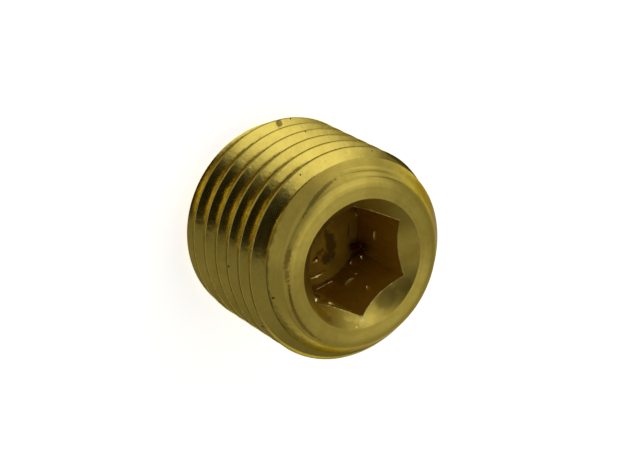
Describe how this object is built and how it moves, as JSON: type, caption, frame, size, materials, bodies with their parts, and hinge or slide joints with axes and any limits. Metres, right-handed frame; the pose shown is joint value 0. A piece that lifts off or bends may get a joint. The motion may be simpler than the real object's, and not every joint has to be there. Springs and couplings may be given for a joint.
{
  "type": "pipe plug",
  "caption": "Flush pipe plug with a tapered male pipe thread, a countersunk face and a hexagon socket, screwed into a fitting to close it.",
  "frame": {"origin": "centre of the plug's flat leading end, on the thread's axis", "axes": "+Z along the thread's axis from the leading end to the socketed head; two corners of the hexagon lie on the X axis"},
  "size_m": [0.0136, 0.0136, 0.0108],
  "materials": {
    "brass": "machined, bright and slightly worn"
  },
  "bodies": {
    "root": {"plug": "brass"}
  },
  "joints": []
}
